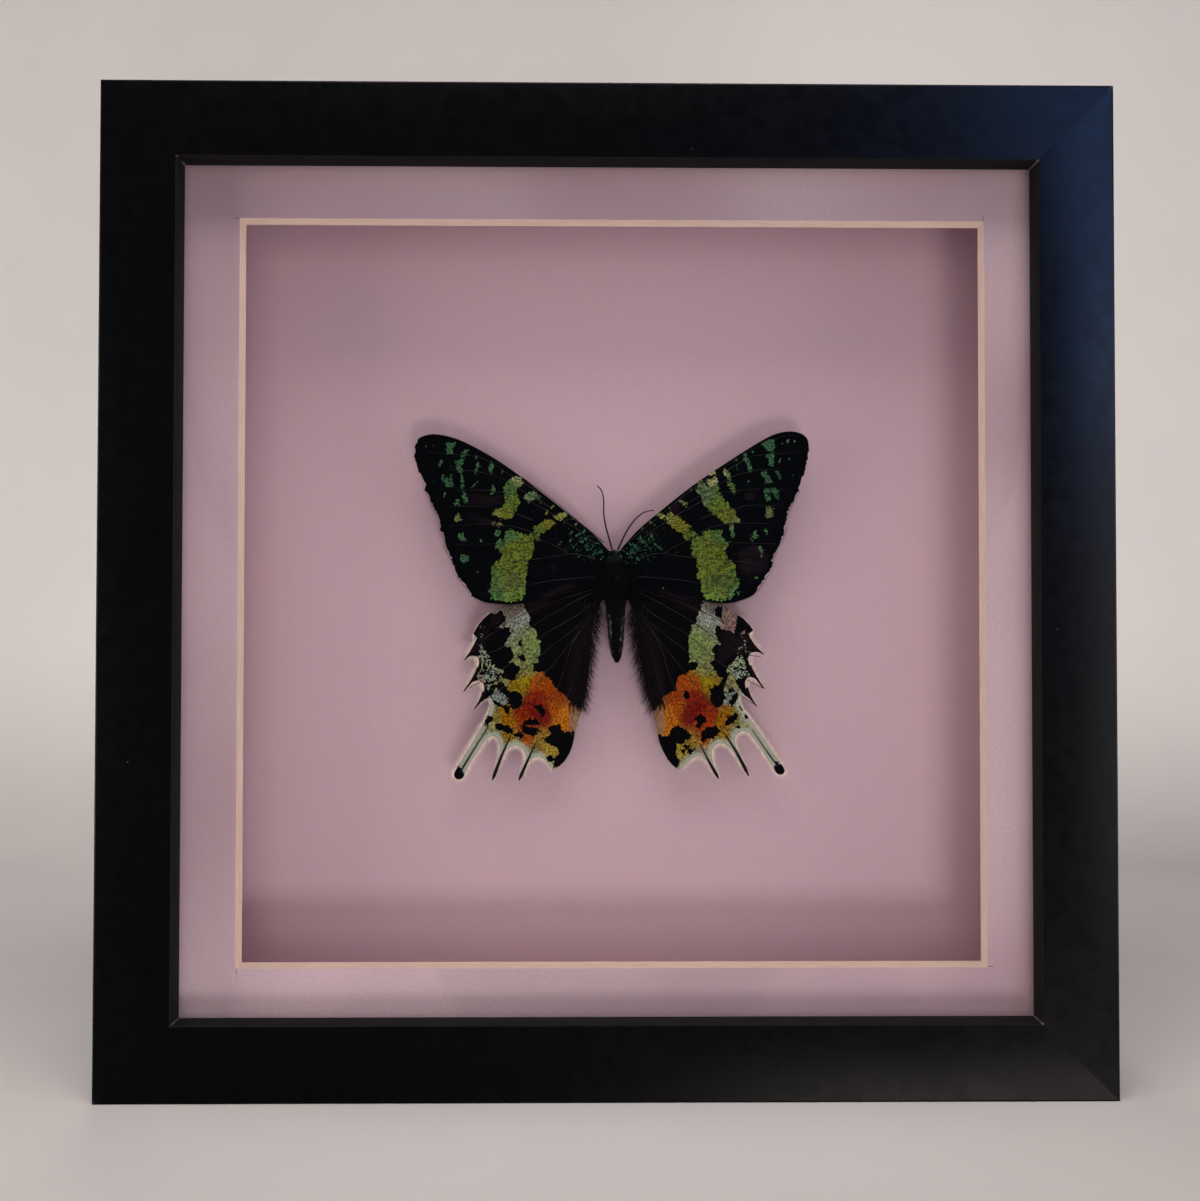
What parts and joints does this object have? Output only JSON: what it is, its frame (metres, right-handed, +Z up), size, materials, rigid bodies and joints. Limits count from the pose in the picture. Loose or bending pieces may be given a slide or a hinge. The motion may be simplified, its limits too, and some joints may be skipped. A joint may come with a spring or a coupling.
{
  "type": "framed moth specimen",
  "caption": "Square black box frame with a lilac window mat, holding a spread day-flying moth with tailed orange, green and black wings pinned on a mauve backing.",
  "frame": {"origin": "middle of the frame's bottom face, where it stands", "axes": "+Z up along the moth's body towards its head, +Y from the glass to the back, +X to the right seen from the front"},
  "size_m": [0.228, 0.039, 0.228],
  "materials": {
    "black_moulding": "satin black paint on wood moulding",
    "picture_glass": "clear picture glass",
    "lilac_matboard": "lilac paper-faced mat board with a cream core",
    "liner_board": "mauve card over foam board",
    "mauve_backing": "mauve card on foam board, lightly dusty",
    "hardboard": "brown pressed hardboard",
    "pressed_steel": "zinc-plated pressed steel",
    "moth_fur": "short dark fur and scales on the insect's hard skin",
    "moth_forewing": "black scaled wing membrane with iridescent green bands",
    "moth_hindwing": "black, green, orange and red scaled wing membrane with a pale fringe",
    "moth_limb": "dry dark insect skin, thin and horny",
    "pin_steel": "fine bright steel pin"
  },
  "bodies": {
    "root": {"rail_bottom": "black_moulding", "rail_right": "black_moulding", "rail_top": "black_moulding", "rail_left": "black_moulding", "glass_pane": "picture_glass", "mat": "lilac_matboard", "liner_top": "liner_board", "liner_bottom": "liner_board", "liner_left": "liner_board", "liner_right": "liner_board", "backing_board": "mauve_backing", "back_panel": "hardboard", "tab_bottom_1": "pressed_steel", "tab_bottom_2": "pressed_steel", "tab_top_1": "pressed_steel", "tab_top_2": "pressed_steel", "tab_left_1": "pressed_steel", "tab_left_2": "pressed_steel", "tab_right_1": "pressed_steel", "tab_right_2": "pressed_steel", "sawtooth_hanger": "pressed_steel", "hanger_rivet_left": "pressed_steel", "hanger_rivet_right": "pressed_steel", "moth_body": "moth_fur", "forewing_left": "moth_forewing", "forewing_right": "moth_forewing", "hindwing_left": "moth_hindwing", "hindwing_right": "moth_hindwing", "antenna_left": "moth_limb", "antenna_right": "moth_limb", "leg_front_left": "moth_limb", "leg_front_right": "moth_limb", "leg_middle_left": "moth_limb", "leg_middle_right": "moth_limb", "leg_hind_left": "moth_limb", "leg_hind_right": "moth_limb", "pin": "pin_steel"}
  },
  "joints": []
}
